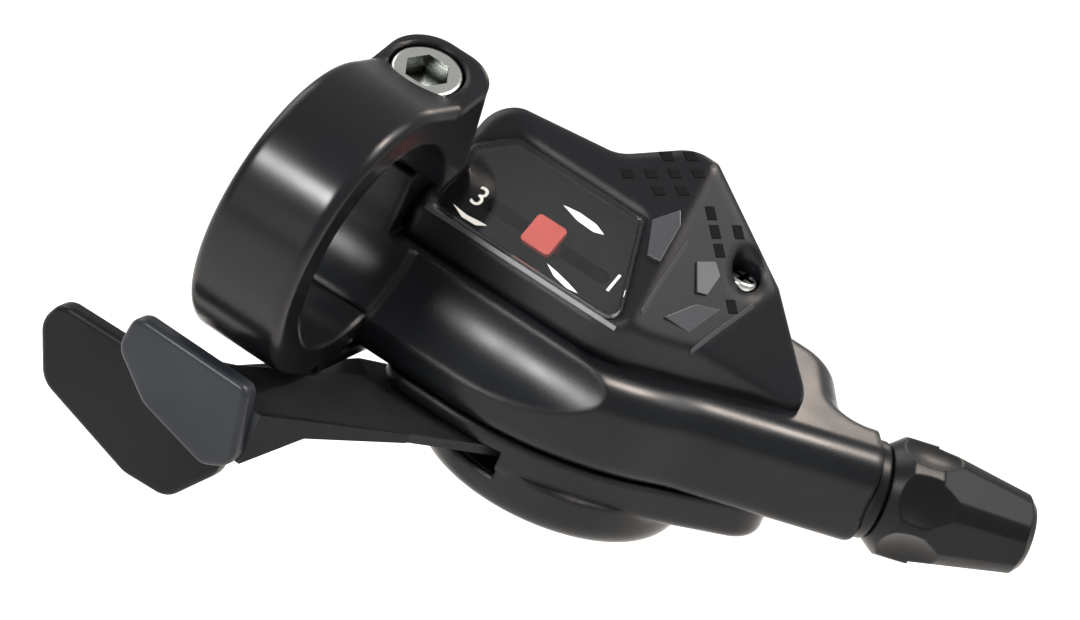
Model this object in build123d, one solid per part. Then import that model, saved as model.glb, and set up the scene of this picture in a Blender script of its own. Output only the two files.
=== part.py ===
"""Left-hand trigger gear shifter with a gear indicator, in millimetres.

The origin is the centre of the handlebar bore. +X runs along the bar towards the stem, +Y points forward,
away from the rider, and +Z is parallel to the axle that the spool and both thumb levers turn on.
"""
import os
from math import atan, atan2, cos, degrees, hypot, pi, radians, sin, tan

from build123d import *

# Handlebar and clamp band
bar_diameter = 22.2
bar_clearance = 0.05
band_width = 10.5
band_wall = 3.3
band_lean = 0.5
band_edge_round = 1.1
clamp_tilt = 18.0
split_gap = 1.0
ear_blend_angle = 62.0
ear_wall = 2.3
ear_top = 9.9
ear_end_round = 4.2
foot_thickness = 1.3
foot_length = 8.0
foot_screw_diameter = 2.6
foot_screw_depth = 4.4
foot_screw_head_share = 0.45
bolt_diameter = 4.0
bolt_head_diameter = 7.2
bolt_head_height = 3.4
bolt_socket = 4.0
bolt_socket_depth = 2.2
bolt_bar_gap = 0.6
bolt_offset_x = -0.7
nut_flats = 7.0
nut_height = 3.0
nut_depth = 9.0
boss_wall = 0.8

# Running and assembly clearances
running_fit = 0.08
hole_clearance = 0.15
part_gap = 0.3
pawl_clearance = 0.35

# Housing shells
wall = 1.8
rider_edge = 6.3
trough_clearance = 0.6
housing_height = 9.65
shoulder_round = 3.4
seam_step = 0.25
side_height = 3.9
bulge_depth = 3.6
ledge_round = 1.2
bulge_radius = 13.5
bulge_middle = (22.4, 21.6)
bulge_round = 2.2
floor_wall = 1.0
lower_left_edge = 8.0
slot_start = -225.0
slot_stop = -98.0
lower_corner = (43.5, 25.0)
nose_neck = 2.4
nose_neck_round = 2.0
rider_corner_x = 27.0
nose_bend = (36.3, 16.7)
rider_corner_round = 25.0
front_edge = 42.4
front_right_x = 38.0
front_left_x = 15.0
left_shoulder_y = 20.0

# Axle, spool and ratchet
axle_x = 25.0
axle_y = 24.0
axle_diameter = 6.0
axle_head_diameter = 6.8
axle_head_height = 1.5
plate_thickness = 1.2
plate_radius = 9.2
spool_height = 3.9
spool_flange_radius = 9.3
spool_groove_radius = 8.0
spool_groove_width = 2.0
ratchet_thickness = 1.4
ratchet_radius = 9.6
ratchet_teeth = 16
tooth_depth = 1.3
pin_diameter = 2.4
pawl_eye_radius = 2.1
pawl_width = 2.6
hold_pawl_angle = 10.0
hold_pawl_reach = 12.8
hold_tip_angle = 45.0
pull_pawl_angle = -165.0
pull_pawl_reach = 12.4
pull_tip_angle = -194.0

# Levers
lever_thickness = 1.0
spacer_height = 2.7
lever_gap = 0.4
lever_hub_radius = 7.0
lever_arm_width = 9.0
lever_root_width = 13.0
release_arm_width = 7.4
finger_lead = 14.0
finger_reach = 1.6
finger_width = 3.0
finger_radius = 0.8
pawl_gap = 0.1
paddle_edge_round = 0.7
lever_spring_pitch = 0.8
lever_spring_wire = 0.4
lever_spring_halves = 4
washer_wall = 2.4
spacer_wall = 1.0
washer_thickness = 0.4
axle_nut_flats = 9.0
axle_nut_height = 1.2
paddle_thickness = 2.4
tongue_thickness = 1.0
release_face_y = -14.5
release_rise = 2.6
pull_face_y = -6.5
pull_drop = 3.4
bend_start = 23.5
bend_stop = 35.0
web_length = 13.0
web_gusset = 4.0
web_rib = 0.9
web_lean = 0.72
web_depth = 8.4
web_offset = 2.2
web_width = 2.9

# Cable nose and barrel adjuster
cable_angle = 36.9
nose_reach = 23.3
nose_width = 9.0
nose_round = 1.6
barrel_diameter = 6.0
barrel_bore = 2.2
barrel_insert = 7.0
barrel_short = 1.5
collar_length = 1.6
collar_diameter = 9.6
knob_length = 15.4
knob_diameter = 11.6
knob_end_diameter = 8.2
knob_shoulder = 5.5
knob_facets = 6
scallop_radius = 9.0
facet_depth = 0.35
scallop_depth = 0.9

# Gear indicator
cover_left = 2.3
cover_near = 12.8
cover_end = (43.5, 28.8)
cover_hump_start = (20.5, 28.9)
cover_kink = (15.0, 25.4)
cover_far_left = 24.2
cover_wall = 1.2
cover_rise = 3.5
dial_slope = 42.0
pad_fall = 35.0
pad_rise = 35.0
pad_start_x = 27.3
skirt_fall = 48.4
skirt_rise = 37.9
skirt_start = (33.6, 25.94)
skirt_rise_at_start = 4.79
cover_rim_round = 1.0
cover_rim_from = 2.9
cover_near_round = 9.0
cover_end_round = 1.6
window_near = 0.5
window_left = 3.45
window_right = 26.2
window_depth = 10.8
window_lip = 0.6
window_slant = 4.9
window_bevel = 3.0
window_round = 1.3
lens_thickness = 1.0
lens_seat = 0.55
lens_bevel = 0.25
facet_wall = 2.0
dial_thickness = 0.8
needle_size = 3.3
needle_stem = 1.0
dial_margin = 0.2
needle_thickness = 0.7
needle_along = 4.6
needle_home_x = 14.3
needle_travel = 6.6
indicator_screw_x = 31.0
indicator_screw_y = 26.0
screw_sink = 2.2
small_screw_diameter = 2.0
small_screw_head = 3.0
small_head_height = 1.3
small_socket = 0.9
screw_post_wall = 0.5
screw_hole_margin = 0.05
cover_screw_length = 6.0
cover_screw_seat = 1.5
cover_screw_inset = 3.6

# Derived places
half_band = band_width / 2
bore_radius = bar_diameter / 2 + bar_clearance
band_radius = bore_radius + band_wall
trough_radius = bar_diameter / 2 + trough_clearance
parting_height = foot_thickness - band_radius
shoulder_height = parting_height + housing_height
dial_height = shoulder_height + cover_rise
ledge_height = parting_height - side_height
bottom_height = ledge_height - bulge_depth
roof_under = shoulder_height - wall
plate_under = roof_under - plate_thickness
spool_top = plate_under - part_gap
spool_under = spool_top - spool_height
ratchet_under = spool_under - ratchet_thickness
release_plate_top = ratchet_under - spacer_height
release_plate_under = release_plate_top - lever_thickness
pull_plate_top = release_plate_under - lever_gap
pull_plate_under = pull_plate_top - lever_thickness
washer_under = pull_plate_under - washer_thickness
nut_under = washer_under - axle_nut_height
release_top = release_plate_top + release_rise
pull_top = pull_plate_top - pull_drop
cable_height = spool_top - spool_height / 2
bolt_reach = bore_radius + bolt_bar_gap + bolt_diameter / 2
ear_end = bolt_reach + bolt_head_diameter / 2 + ear_wall / 2
axle_radius = axle_diameter / 2
axle_at = Pos(axle_x, axle_y, 0)

# Section plane of the clamp: local x points out of the bar through the split, local y along the bolt
tilt = radians(clamp_tilt)
section_plane = Plane((0, 0, 0), x_dir=(0, cos(tilt), sin(tilt)), z_dir=(1, 0, 0))
bolt_plane = Plane((0, 0, 0), x_dir=(1, 0, 0), z_dir=(0, -sin(tilt), cos(tilt)))
bolt_at = bolt_plane * Pos(bolt_offset_x, bolt_reach, 0)

# Cable line: it leaves the spool on the rider's side and runs out through the nose
turn = radians(cable_angle)
cable_dir = Vector(cos(turn), sin(turn), 0)
tangent_point = Vector(axle_x, axle_y, cable_height) + Vector(sin(turn), -cos(turn), 0) * spool_groove_radius
nose_plane = Plane(tangent_point + cable_dir * nose_reach, x_dir=(-sin(turn), cos(turn), 0), z_dir=cable_dir)

# Plane of the dial: local x along the bar, local y up the slope, local z out of the dial
slope = radians(dial_slope)
dial_plane = Plane((0, cover_near, dial_height), x_dir=(1, 0, 0), z_dir=(0, -sin(slope), cos(slope)))


def polygon(points):
    """A face with straight sides through the points."""
    return make_face(Polyline(*points, close=True))


def rounded_outline(corners):
    """A face through (x, y, radius) corners, each rounded by its own radius."""
    face = polygon([(x, y) for x, y, _ in corners])
    for x, y, radius in corners:
        if radius:
            corner = face.vertices().sort_by_distance(Vector(x, y, 0))[0]
            face = fillet(corner, radius)
    return face


def prism(face, low, high):
    """The flat face raised between two heights."""
    return Pos(0, 0, low) * extrude(face, high - low)


def disc(radius, low, high):
    """A cylinder on the axle's line between two heights."""
    return axle_at * prism(Circle(radius), low, high)


def ring(outer, inner, low, high):
    """A tube on the axle's line between two heights."""
    return axle_at * prism(Circle(outer) - Circle(inner), low, high)


def axle_ring(thickness, low, high):
    """A washer or spacer that runs on the axle."""
    return ring(axle_radius + thickness, axle_radius + running_fit, low, high)


def bar_cylinder(radius, left, right):
    """A cylinder on the bar's line between two places along it."""
    return Plane.YZ * Pos(0, 0, left) * extrude(Circle(radius), right - left)


def on_axle(angle, reach):
    """The point at an angle and distance from the axle's line."""
    return (axle_x + reach * cos(radians(angle)), axle_y + reach * sin(radians(angle)))


def sector(reach, start, stop):
    """A wedge of the plane about the axle, between two angles."""
    middle = on_axle((start + stop) / 2, reach)
    arc = ThreePointArc(on_axle(start, reach), middle, on_axle(stop, reach))
    sides = Polyline(on_axle(stop, reach), (axle_x, axle_y), on_axle(start, reach))
    return make_face([arc, *sides.edges()])


def nose_side(side, back):
    """A point on the nose's side, back from its end: side 1 faces the rider and -1 the front."""
    point = nose_plane.origin - nose_plane.x_dir * (side * nose_width / 2) - cable_dir * back
    return point.X, point.Y


def neck_round():
    """Radius where the nose's front side meets the body, as far as the straight neck has room for it."""
    x, y = nose_side(-1, nose_neck)
    bend = radians((-cable_dir).get_angle(Vector(front_right_x - x, front_edge - y)))
    return min(nose_neck_round, (nose_neck - hole_clearance) / tan(bend / 2))


def upper_corners():
    """Corners of the upper housing's outline seen from above, with the cable nose at its inboard end."""
    return [
        (-half_band, rider_edge, shoulder_round + 0.6),
        (rider_corner_x, rider_edge, rider_corner_round),
        (*nose_bend, 14),
        (*nose_side(1, 0), 0),
        (*nose_side(-1, 0), 0),
        (*nose_side(-1, nose_neck), neck_round()),
        (front_right_x, front_edge, 6),
        (front_left_x, front_edge, 12),
        (-half_band, left_shoulder_y, 6),
    ]


def lower_corners():
    """Corners of the lower cover's outline: the upper one, without the saddle and the nose."""
    return [
        (lower_left_edge, rider_edge, 3),
        (rider_corner_x, rider_edge, rider_corner_round),
        (*lower_corner, 5),
        (front_right_x, front_edge, 6),
        (front_left_x, front_edge, 8),
        (lower_left_edge, front_edge - 8, 4),
    ]


def clamp_band():
    """A strap that goes round the rider's side of the bar, from a flat foot to the ear of the pinch bolt."""
    blend = radians(ear_blend_angle)
    lean = (-band_lean * cos(tilt), band_lean * sin(tilt))
    start = (lean[0] + band_radius * cos(blend), lean[1] + band_radius * sin(blend))
    flat_from = start[0] + (start[1] - ear_top) * tan(blend)
    ear = polygon([
        start, (flat_from, ear_top), (ear_end, ear_top), (ear_end, split_gap / 2), (0, split_gap / 2),
    ])
    profile = section_plane * (Pos(*lean) * Circle(band_radius) + ear)
    strap = extrude(profile, half_band, both=True)
    upright = strap.edges().filter_by(Axis((0, 0, 0), bolt_plane.z_dir))
    end_edges = upright.sort_by(Axis((0, 0, 0), section_plane.x_dir))
    strap = fillet(end_edges[-2:], ear_end_round)
    rims = strap.faces().filter_by(Axis.X).edges().filter_by(
        lambda edge: edge.geom_type == GeomType.CIRCLE and edge.radius > bore_radius)
    strap = fillet(rims, band_edge_round)
    reach = 4 * band_radius
    split_at = [(split_gap / 2 + y * sin(tilt)) / cos(tilt) for y in (rider_edge - part_gap, reach)]
    front = Plane.YZ * polygon([
        (rider_edge - part_gap, split_at[0]),
        (rider_edge - part_gap, -reach),
        (reach, -reach),
        (reach, split_at[1]),
    ])
    strap -= extrude(front, band_width, both=True)
    foot_y = (rider_edge - part_gap + foot_length) / 2
    foot = Pos(0, foot_y, parting_height - foot_thickness / 2) * Box(
        band_width, rider_edge - part_gap + foot_length, foot_thickness)
    strap += foot
    strap -= bar_cylinder(bore_radius, -band_width, band_width)
    seat = bolt_at * Pos(0, 0, bolt_seat())
    strap -= seat * extrude(Circle(bolt_head_diameter / 2 + hole_clearance), band_radius)
    strap -= bolt_at * extrude(Circle(bolt_diameter / 2 + hole_clearance), band_radius, both=True)
    foot_hole = Circle(foot_screw_diameter / 2 + hole_clearance)
    strap -= foot_screw_place() * extrude(foot_hole, 3 * foot_thickness, both=True)
    return strap


def bolt_seat():
    """Height of the bolt head's seat along the bolt, above the middle of the split."""
    return ear_top - bolt_head_height - hole_clearance


def foot_screw_place():
    """Where the screw of the band's foot enters the housing, from below."""
    return Pos(0, rider_edge + foot_length * 0.55, parting_height)


def clamp_bolt():
    """Socket head screw that closes the band."""
    seat = bolt_seat()
    nut_far = -split_gap / 2 - nut_depth - nut_height
    head = Pos(0, 0, seat) * extrude(Circle(bolt_head_diameter / 2), bolt_head_height)
    head = fillet(head.edges().sort_by(Axis.Z)[-1], 0.5)
    shank = Pos(0, 0, nut_far) * extrude(Circle(bolt_diameter / 2), seat - nut_far)
    socket = Pos(0, 0, seat + bolt_head_height - bolt_socket_depth) * extrude(
        RegularPolygon(bolt_socket / 2, 6, major_radius=False), bolt_socket_depth)
    return bolt_at * (head + shank - socket)


def clamp_nut():
    """Square nut held in the housing's boss."""
    low = -split_gap / 2 - nut_depth - nut_height
    body = Pos(0, 0, low) * extrude(Rectangle(nut_flats, nut_flats), nut_height)
    hole = Pos(0, 0, low) * extrude(Circle(bolt_diameter / 2), nut_height)
    return bolt_at * (body - hole)


def nut_pocket():
    """Room for the nut, open to the left end of the housing."""
    low = -split_gap / 2 - nut_depth - nut_height - hole_clearance
    side = nut_flats + 2 * hole_clearance
    length = side + band_width
    return bolt_at * Pos((side - length) / 2, 0, low) * extrude(
        Rectangle(length, side), nut_height + 2 * hole_clearance)


def foot_screw():
    """Screw that holds the band's foot against the housing."""
    head = extrude(Circle(foot_screw_diameter * 0.9), foot_thickness * foot_screw_head_share)
    head = Pos(0, 0, -foot_thickness - foot_thickness * foot_screw_head_share) * head
    shank = Pos(0, 0, -foot_thickness) * extrude(Circle(foot_screw_diameter / 2), foot_thickness + 4)
    return foot_screw_place() * (head + shank)


def cover_screw_places():
    """Where the two screws of the lower cover stand."""
    back_screw = (axle_x - cover_screw_inset, front_edge - cover_screw_inset)
    side_screw = (front_right_x - cover_screw_inset / 2, front_edge - 2 * cover_screw_inset)
    return [back_screw, side_screw]


def on_nose_end(edge):
    """True for an edge that lies in the end face of the cable nose."""
    return abs((edge.center() - nose_plane.origin).dot(cable_dir)) < part_gap / 2


def screw_post():
    """Section of the post that a cover screw bites in."""
    return Circle(small_screw_diameter + screw_post_wall)


def upper_housing():
    """Moulded upper shell: bar saddle with the bolt boss, trough along the bar, shoulder and cable nose."""
    body = prism(rounded_outline(upper_corners()), parting_height, shoulder_height)
    top_edges = body.edges().group_by(Axis.Z)[-1]
    body = fillet(top_edges.filter_by(lambda edge: not on_nose_end(edge)), shoulder_round)
    body = fillet(body.edges().group_by(Axis.Z)[0].filter_by(on_nose_end), nose_round)
    boss_right = bolt_offset_x + bolt_diameter / 2 + boss_wall
    boss = bolt_plane * Pos((boss_right - half_band) / 2, bolt_reach, -split_gap / 2) * extrude(
        Rectangle(half_band + boss_right, bolt_head_diameter + ear_wall), -nut_depth - 2 * nut_height)
    body += boss
    cavity = prism(offset(rounded_outline(lower_corners()), -wall), parting_height, roof_under)
    cavity -= bar_cylinder(trough_radius + wall, 0, 2 * front_right_x)
    for x, y in cover_screw_places():
        cavity -= Pos(x, y, 0) * prism(screw_post(), parting_height, roof_under)
    body -= cavity
    body -= bar_cylinder(bore_radius, -band_width, half_band)
    body -= bar_cylinder(trough_radius, half_band, 2 * front_right_x)
    body -= bolt_at * extrude(Circle(bolt_diameter / 2 + hole_clearance), band_radius, both=True)
    body -= nut_pocket()
    body -= foot_screw_place() * extrude(Circle(foot_screw_diameter / 2), foot_screw_depth)
    body -= disc(axle_radius + hole_clearance, roof_under - 1, shoulder_height + 1)
    barrel_hole = extrude(Circle(barrel_diameter / 2 + running_fit), nose_reach)
    body -= nose_plane * Pos(0, 0, -nose_reach / 2) * barrel_hole
    screw_hole = Circle(small_screw_diameter / 2 + screw_hole_margin)
    for x, y in cover_screw_places():
        body -= Pos(x, y, 0) * prism(
            screw_hole, parting_height, parting_height + cover_screw_length + hole_clearance)
    body -= Pos(indicator_screw_x, indicator_screw_y, 0) * prism(screw_hole, roof_under, shoulder_height)
    return body


def lower_cover():
    """Moulded lower shell with the round bulge under the mechanism and the slot that the levers swing in."""
    outline = offset(rounded_outline(lower_corners()), -seam_step)
    body = prism(outline, ledge_height, parting_height)
    body = fillet(body.edges().group_by(Axis.Z)[0], ledge_round)
    bulge = Pos(*bulge_middle, 0) * prism(Circle(bulge_radius), bottom_height, ledge_height + 1)
    bulge = fillet(bulge.edges().group_by(Axis.Z)[0], bulge_round)
    body += bulge
    inner = prism(offset(outline, seam_step - wall), ledge_height + floor_wall, parting_height)
    inner += Pos(*bulge_middle, 0) * prism(
        Circle(bulge_radius - floor_wall), bottom_height + floor_wall, ledge_height + 2)
    for x, y in cover_screw_places():
        inner -= Pos(x, y, 0) * prism(screw_post(), ledge_height, parting_height)
    body -= inner
    opening = sector(2 * front_right_x, slot_start, slot_stop)
    body -= prism(opening, pull_plate_under - part_gap, release_plate_top + part_gap)
    for x, y in cover_screw_places():
        place = Pos(x, y, 0)
        body -= place * prism(Circle(small_screw_diameter / 2 + hole_clearance), ledge_height, parting_height)
        head_room = Circle(small_screw_head / 2 + hole_clearance)
        body -= place * prism(head_room, ledge_height, ledge_height + cover_screw_seat)
    return body


def cover_screws():
    """The two screws that hold the lower cover, with the heads sunk in its floor."""
    seat = ledge_height + cover_screw_seat
    screw = prism(Circle(small_screw_head / 2), seat - small_head_height, seat)
    screw += prism(Circle(small_screw_diameter / 2), seat, parting_height + cover_screw_length)
    screw -= prism(RegularPolygon(small_socket, 6), seat - small_head_height, seat - small_head_height / 3)
    return [Pos(x, y, 0) * screw for x, y in cover_screw_places()]


def cover_outline():
    """Outline of the indicator cover seen from above."""
    return rounded_outline([
        (cover_left, cover_near, 1),
        (pad_start_x - cover_rim_round, cover_near, cover_near_round),
        (*cover_end, cover_end_round),
        (*cover_hump_start, 5),
        (*cover_kink, 5),
        (cover_left, cover_far_left, 3),
    ])


def falling_plane(start, fall, rise, sink):
    """A plane through a point that falls along the bar and rises forward, sunk along its own normal."""
    normal = Vector(tan(radians(fall)), -tan(radians(rise)), 1).normalized()
    return Plane(Vector(*start) - normal * sink, x_dir=(1, 0, -tan(radians(fall))), z_dir=normal)


def cover_planes(sink):
    """The planes of the dial, the textured pad and the skirt at the cover's end."""
    skirt_corner = (*skirt_start, dial_height + skirt_rise_at_start)
    return [
        dial_plane * Pos(0, 0, -sink),
        falling_plane((pad_start_x, cover_near, dial_height), pad_fall, pad_rise, sink).location,
        falling_plane(skirt_corner, skirt_fall, skirt_rise, sink).location,
    ]


def cover_block(outline, sink, base):
    """The outline raised to the cover's facets, all sunk by a distance."""
    block = prism(outline, base, shoulder_height + front_edge)
    for place in cover_planes(sink):
        block -= place * extrude(Rectangle(8 * axle_x, 8 * axle_x), 2 * front_edge)
    return block


def window_outline(grow):
    """Outline of the lens in the plane of the dial, grown by a margin."""
    far = window_near + window_depth
    corners = rounded_outline([
        (window_left, window_near, window_round),
        (window_right, window_near, window_round),
        (window_right - window_slant, far, window_round),
        (window_left + window_bevel, far, window_round),
        (window_left, far - window_bevel, window_round),
    ])
    return offset(corners, grow) if grow else corners


def indicator_cover():
    """Thin cap over the indicator, with the dial facet, the pad facet and the window for the lens."""
    outline = cover_outline()
    body = cover_block(outline, 0, shoulder_height)
    rim = body.edges().filter_by(lambda edge: edge.center().Z > dial_height + cover_rim_from)
    body = fillet(rim, cover_rim_round)
    inner = cover_block(offset(outline, -cover_wall), facet_wall, shoulder_height)
    post = Pos(indicator_screw_x, indicator_screw_y, 0) * prism(
        Circle(small_screw_head / 2 + screw_post_wall), shoulder_height, front_edge)
    body -= inner - post
    body -= dial_plane * Pos(0, 0, -2 * facet_wall) * extrude(window_outline(-window_lip), 4 * facet_wall)
    lens_room = extrude(window_outline(hole_clearance / 2), 2 * lens_thickness)
    body -= dial_plane * Pos(0, 0, -lens_seat) * lens_room
    shaft = Pos(indicator_screw_x, indicator_screw_y, 0)
    body -= shaft * prism(Circle(small_screw_diameter / 2 + hole_clearance), shoulder_height, front_edge)
    body -= shaft * prism(Circle(small_screw_head / 2 + hole_clearance), screw_seat(), front_edge)
    return body


def screw_seat():
    """Height of the seat of the indicator screw's head."""
    fall = (indicator_screw_x - pad_start_x) * tan(radians(pad_fall))
    rise = (indicator_screw_y - cover_near) * tan(radians(pad_rise))
    return dial_height + rise - fall - screw_sink


def indicator_screw():
    """Small cross-head screw sunk in the pad."""
    seat = screw_seat()
    head = prism(Circle(small_screw_head / 2), seat, seat + small_head_height)
    head = fillet(head.edges().sort_by(Axis.Z)[-1], small_head_height / 3)
    head += prism(Circle(small_screw_diameter / 2), roof_under, seat)
    slot = Rectangle(2.4 * small_socket, small_socket * 2 / 3)
    cross_mark = slot + Rot(0, 0, 90) * slot
    cross = prism(cross_mark, seat + small_head_height / 2, seat + 2 * small_head_height)
    return Pos(indicator_screw_x, indicator_screw_y, 0) * (head - cross)


def indicator_lens():
    """Clear lens, set into the dial facet and slightly crowned at its edge."""
    body = dial_plane * Pos(0, 0, -lens_seat) * extrude(window_outline(0), lens_thickness)
    top = body.faces().sort_by(Axis((0, 0, 0), dial_plane.z_dir))[-1]
    return chamfer(top.edges(), lens_bevel)


def indicator_dial():
    """Black dial plate behind the window, with the slot that the needle's stem runs in."""
    low = -facet_wall - dial_thickness
    body = dial_plane * Pos(0, 0, low) * extrude(window_outline(-dial_margin), dial_thickness)
    slot = SlotOverall(2 * (needle_travel + needle_stem), needle_stem + 2 * dial_margin)
    body -= dial_plane * Pos(needle_home_x, needle_along, low) * extrude(slot, dial_thickness)
    return body


def indicator_needle():
    """Red flag over the dial, with a stem through its slot and a shoe under it."""
    dial_top = -facet_wall
    square = RectangleRounded(needle_size, needle_size, needle_size / 8)
    flag = Pos(0, 0, dial_top + part_gap) * extrude(square, needle_thickness)
    stem_low = dial_top - dial_thickness - part_gap
    stem = Pos(0, 0, stem_low) * extrude(Circle(needle_stem / 2), dial_top + part_gap - stem_low)
    foot = RectangleRounded(3 * needle_stem, 2.4 * needle_stem, needle_stem / 2)
    shoe = Pos(0, 0, stem_low - needle_thickness) * extrude(foot, needle_thickness)
    return dial_plane * Pos(needle_home_x, needle_along, 0) * (flag + stem + shoe)


def base_plate():
    """Steel plate under the roof, with a lug that carries the pin of the hold pawl."""
    body = disc(plate_radius, plate_under, roof_under)
    x, y = on_axle(hold_pawl_angle, hold_pawl_reach)
    lug = Pos(x, y, 0) * prism(Circle(pin_diameter), plate_under, roof_under)
    middle = on_axle(hold_pawl_angle, hold_pawl_reach / 2)
    web = Pos(*middle, 0) * Rot(0, 0, hold_pawl_angle) * prism(
        Rectangle(hold_pawl_reach, 2 * pin_diameter), plate_under, roof_under)
    body += lug + web
    body -= disc(axle_radius + hole_clearance, plate_under, roof_under)
    body -= Pos(x, y, 0) * prism(Circle(pin_diameter / 2), plate_under, roof_under)
    return body


def main_axle():
    """Headed axle through the roof, the plate, the spool and both levers."""
    body = disc(axle_head_diameter / 2, shoulder_height, shoulder_height + axle_head_height)
    return body + disc(axle_radius, nut_under, shoulder_height)


def axle_nut():
    """Hexagon nut on the lower end of the axle."""
    body = axle_at * prism(RegularPolygon(axle_nut_flats / 2, 6, major_radius=False), nut_under, washer_under)
    return body - disc(axle_radius, nut_under, washer_under)


def cable_spool():
    """Spool with one cable groove and a recess for its return spring."""
    middle = cable_height
    half_groove = spool_groove_width / 2
    profile = polygon([
        (axle_radius + running_fit, spool_under),
        (spool_flange_radius, spool_under),
        (spool_flange_radius, middle - half_groove),
        (spool_groove_radius, middle - half_groove * 0.5),
        (spool_groove_radius, middle + half_groove * 0.5),
        (spool_flange_radius, middle + half_groove),
        (spool_flange_radius, spool_top),
        (axle_radius + running_fit, spool_top),
    ])
    body = axle_at * revolve(Plane.XZ * profile, Axis.Z)
    recess = ring(spool_groove_radius - 1.2, axle_radius + 0.9, spool_top - 2.6, spool_top)
    return body - recess


def ratchet_profile():
    """Saw-tooth outline of the ratchet: each tooth rises slowly and drops along a radius."""
    pitch = 360 / ratchet_teeth
    points = []
    for tooth in range(ratchet_teeth):
        for angle, radius in ((0, ratchet_radius - tooth_depth), (pitch * 0.92, ratchet_radius)):
            turn_to = radians(tooth * pitch + angle)
            points.append((radius * cos(turn_to), radius * sin(turn_to)))
    return polygon(points)


def ratchet_wheel():
    """Toothed steel wheel pressed under the spool."""
    body = axle_at * prism(ratchet_profile(), ratchet_under, spool_under)
    return body - disc(axle_radius + running_fit, ratchet_under, spool_under)


def pawl(pivot, tip_angle, thickness_low, thickness_high):
    """A pawl with an eye at its pivot and a beak that ends just clear of the ratchet's teeth."""
    tip_radius = ratchet_radius + pawl_clearance
    near = on_axle(tip_angle, tip_radius)
    far = on_axle(tip_angle, tip_radius + pawl_width * 0.7)
    away = Vector(near[0] - pivot[0], near[1] - pivot[1], 0)
    side = Vector(-away.Y, away.X, 0).normalized() * pawl_eye_radius * 0.95
    if (pivot[0] + side.X - axle_x) ** 2 + (pivot[1] + side.Y - axle_y) ** 2 > (
            pivot[0] - side.X - axle_x) ** 2 + (pivot[1] - side.Y - axle_y) ** 2:
        side = side * -1
    x, y = pivot
    beak = polygon([(x + side.X, y + side.Y), near, far, (x - side.X, y - side.Y)])
    body = prism(beak, thickness_low, thickness_high)
    body += Pos(*pivot, 0) * prism(Circle(pawl_eye_radius), thickness_low, thickness_high)
    body -= bar_ratchet_room(thickness_low, thickness_high)
    eye = Circle(pin_diameter / 2 + running_fit)
    return body - Pos(*pivot, 0) * prism(eye, thickness_low, thickness_high)


def bar_ratchet_room(low, high):
    """The space that the turning ratchet needs."""
    return disc(ratchet_radius + pawl_clearance, low, high)


def pawl_levels():
    """Lower and upper height of both pawls, inside the thickness of the ratchet."""
    return ratchet_under + pawl_gap, spool_under - pawl_gap


def pawl_pin(pivot, low, high, head_low):
    """A pin with a thin head below it."""
    pin = Pos(*pivot, 0) * prism(Circle(pin_diameter / 2), low, high)
    return pin + Pos(*pivot, 0) * prism(Circle(pin_diameter * 0.75), head_low, low)


def lever_plate(target, high, width):
    """Flat lever from its hub on the axle to a target point, with straight sides."""
    away = Vector(target[0] - axle_x, target[1] - axle_y, 0)
    length = away.length
    heading = degrees(atan2(away.Y, away.X))
    half = width / 2
    arm = polygon([(0, lever_root_width / 2), (length, half), (length, -half), (0, -lever_root_width / 2)])
    body = axle_at * Rot(0, 0, heading) * prism(arm, high - lever_thickness, high)
    body += disc(lever_hub_radius, high - lever_thickness, high)
    return body - disc(axle_radius + running_fit, high - lever_thickness, high)


def leaf(corners, face_y, thickness, edge_round):
    """A thumb paddle: an upright plate with a rounded outline and softened edges."""
    outline = Plane((0, face_y, 0), x_dir=(1, 0, 0), z_dir=(0, -1, 0)) * rounded_outline(corners)
    body = extrude(outline, -thickness)
    return fillet(body.faces().filter_by(Axis.Y).edges(), edge_round)


def release_corners():
    """Outline of the release paddle, seen from the rider's side."""
    top = release_top
    return [
        (-8.2, top, 1.6),
        (5.2, top - 0.2, 1.2),
        (6.8, top - 8.0, 2.0),
        (3.8, top - 9.6, 2.0),
        (-4.0, top - 7.6, 4.0),
        (-8.6, top - 4.0, 2.0),
    ]


def pull_corners():
    """Outline of the pull paddle, seen from the rider's side."""
    top = pull_top
    return [
        (-18.6, top, 2.0),
        (2.6, top + 0.4, 1.5),
        (2.6, top - 6.4, 2.5),
        (-1.0, top - 11.4, 2.5),
        (-6.0, top - 11.6, 3.0),
        (-17.2, top - 8.2, 3.0),
        (-19.8, top - 2.8, 2.5),
    ]


def release_root():
    """Where the release lever's plate meets its paddle."""
    return (1.6, release_face_y + paddle_thickness)


def pull_root():
    """Where the pull lever's plate is bent down to its paddle."""
    return (-4.5, pull_face_y + paddle_thickness / 2)


def release_tongue():
    """The end of the release lever that the paddle is moulded on."""
    x, y = release_root()
    high = release_plate_top
    return Pos(x, y - paddle_thickness * 0.3, high - lever_thickness / 2) * Box(
        8.0, paddle_thickness * 0.8, lever_thickness)


def release_lever():
    """Release lever: the short-travel upper plate, with a finger that lifts the hold pawl."""
    body = lever_plate(release_root(), release_plate_top, release_arm_width)
    body += release_tongue()
    heading = hold_tip_angle + finger_lead
    length = ratchet_radius + finger_reach
    arm = axle_at * Rot(0, 0, heading) * Pos(length / 2, 0, 0) * prism(
        Rectangle(length, finger_width), release_plate_under, release_plate_top)
    body += arm - disc(axle_radius + running_fit, release_plate_under, release_plate_top)
    peg = prism(Circle(finger_radius), release_plate_top, spool_under - pawl_gap)
    return body + Pos(*on_axle(heading, length), 0) * peg


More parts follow.
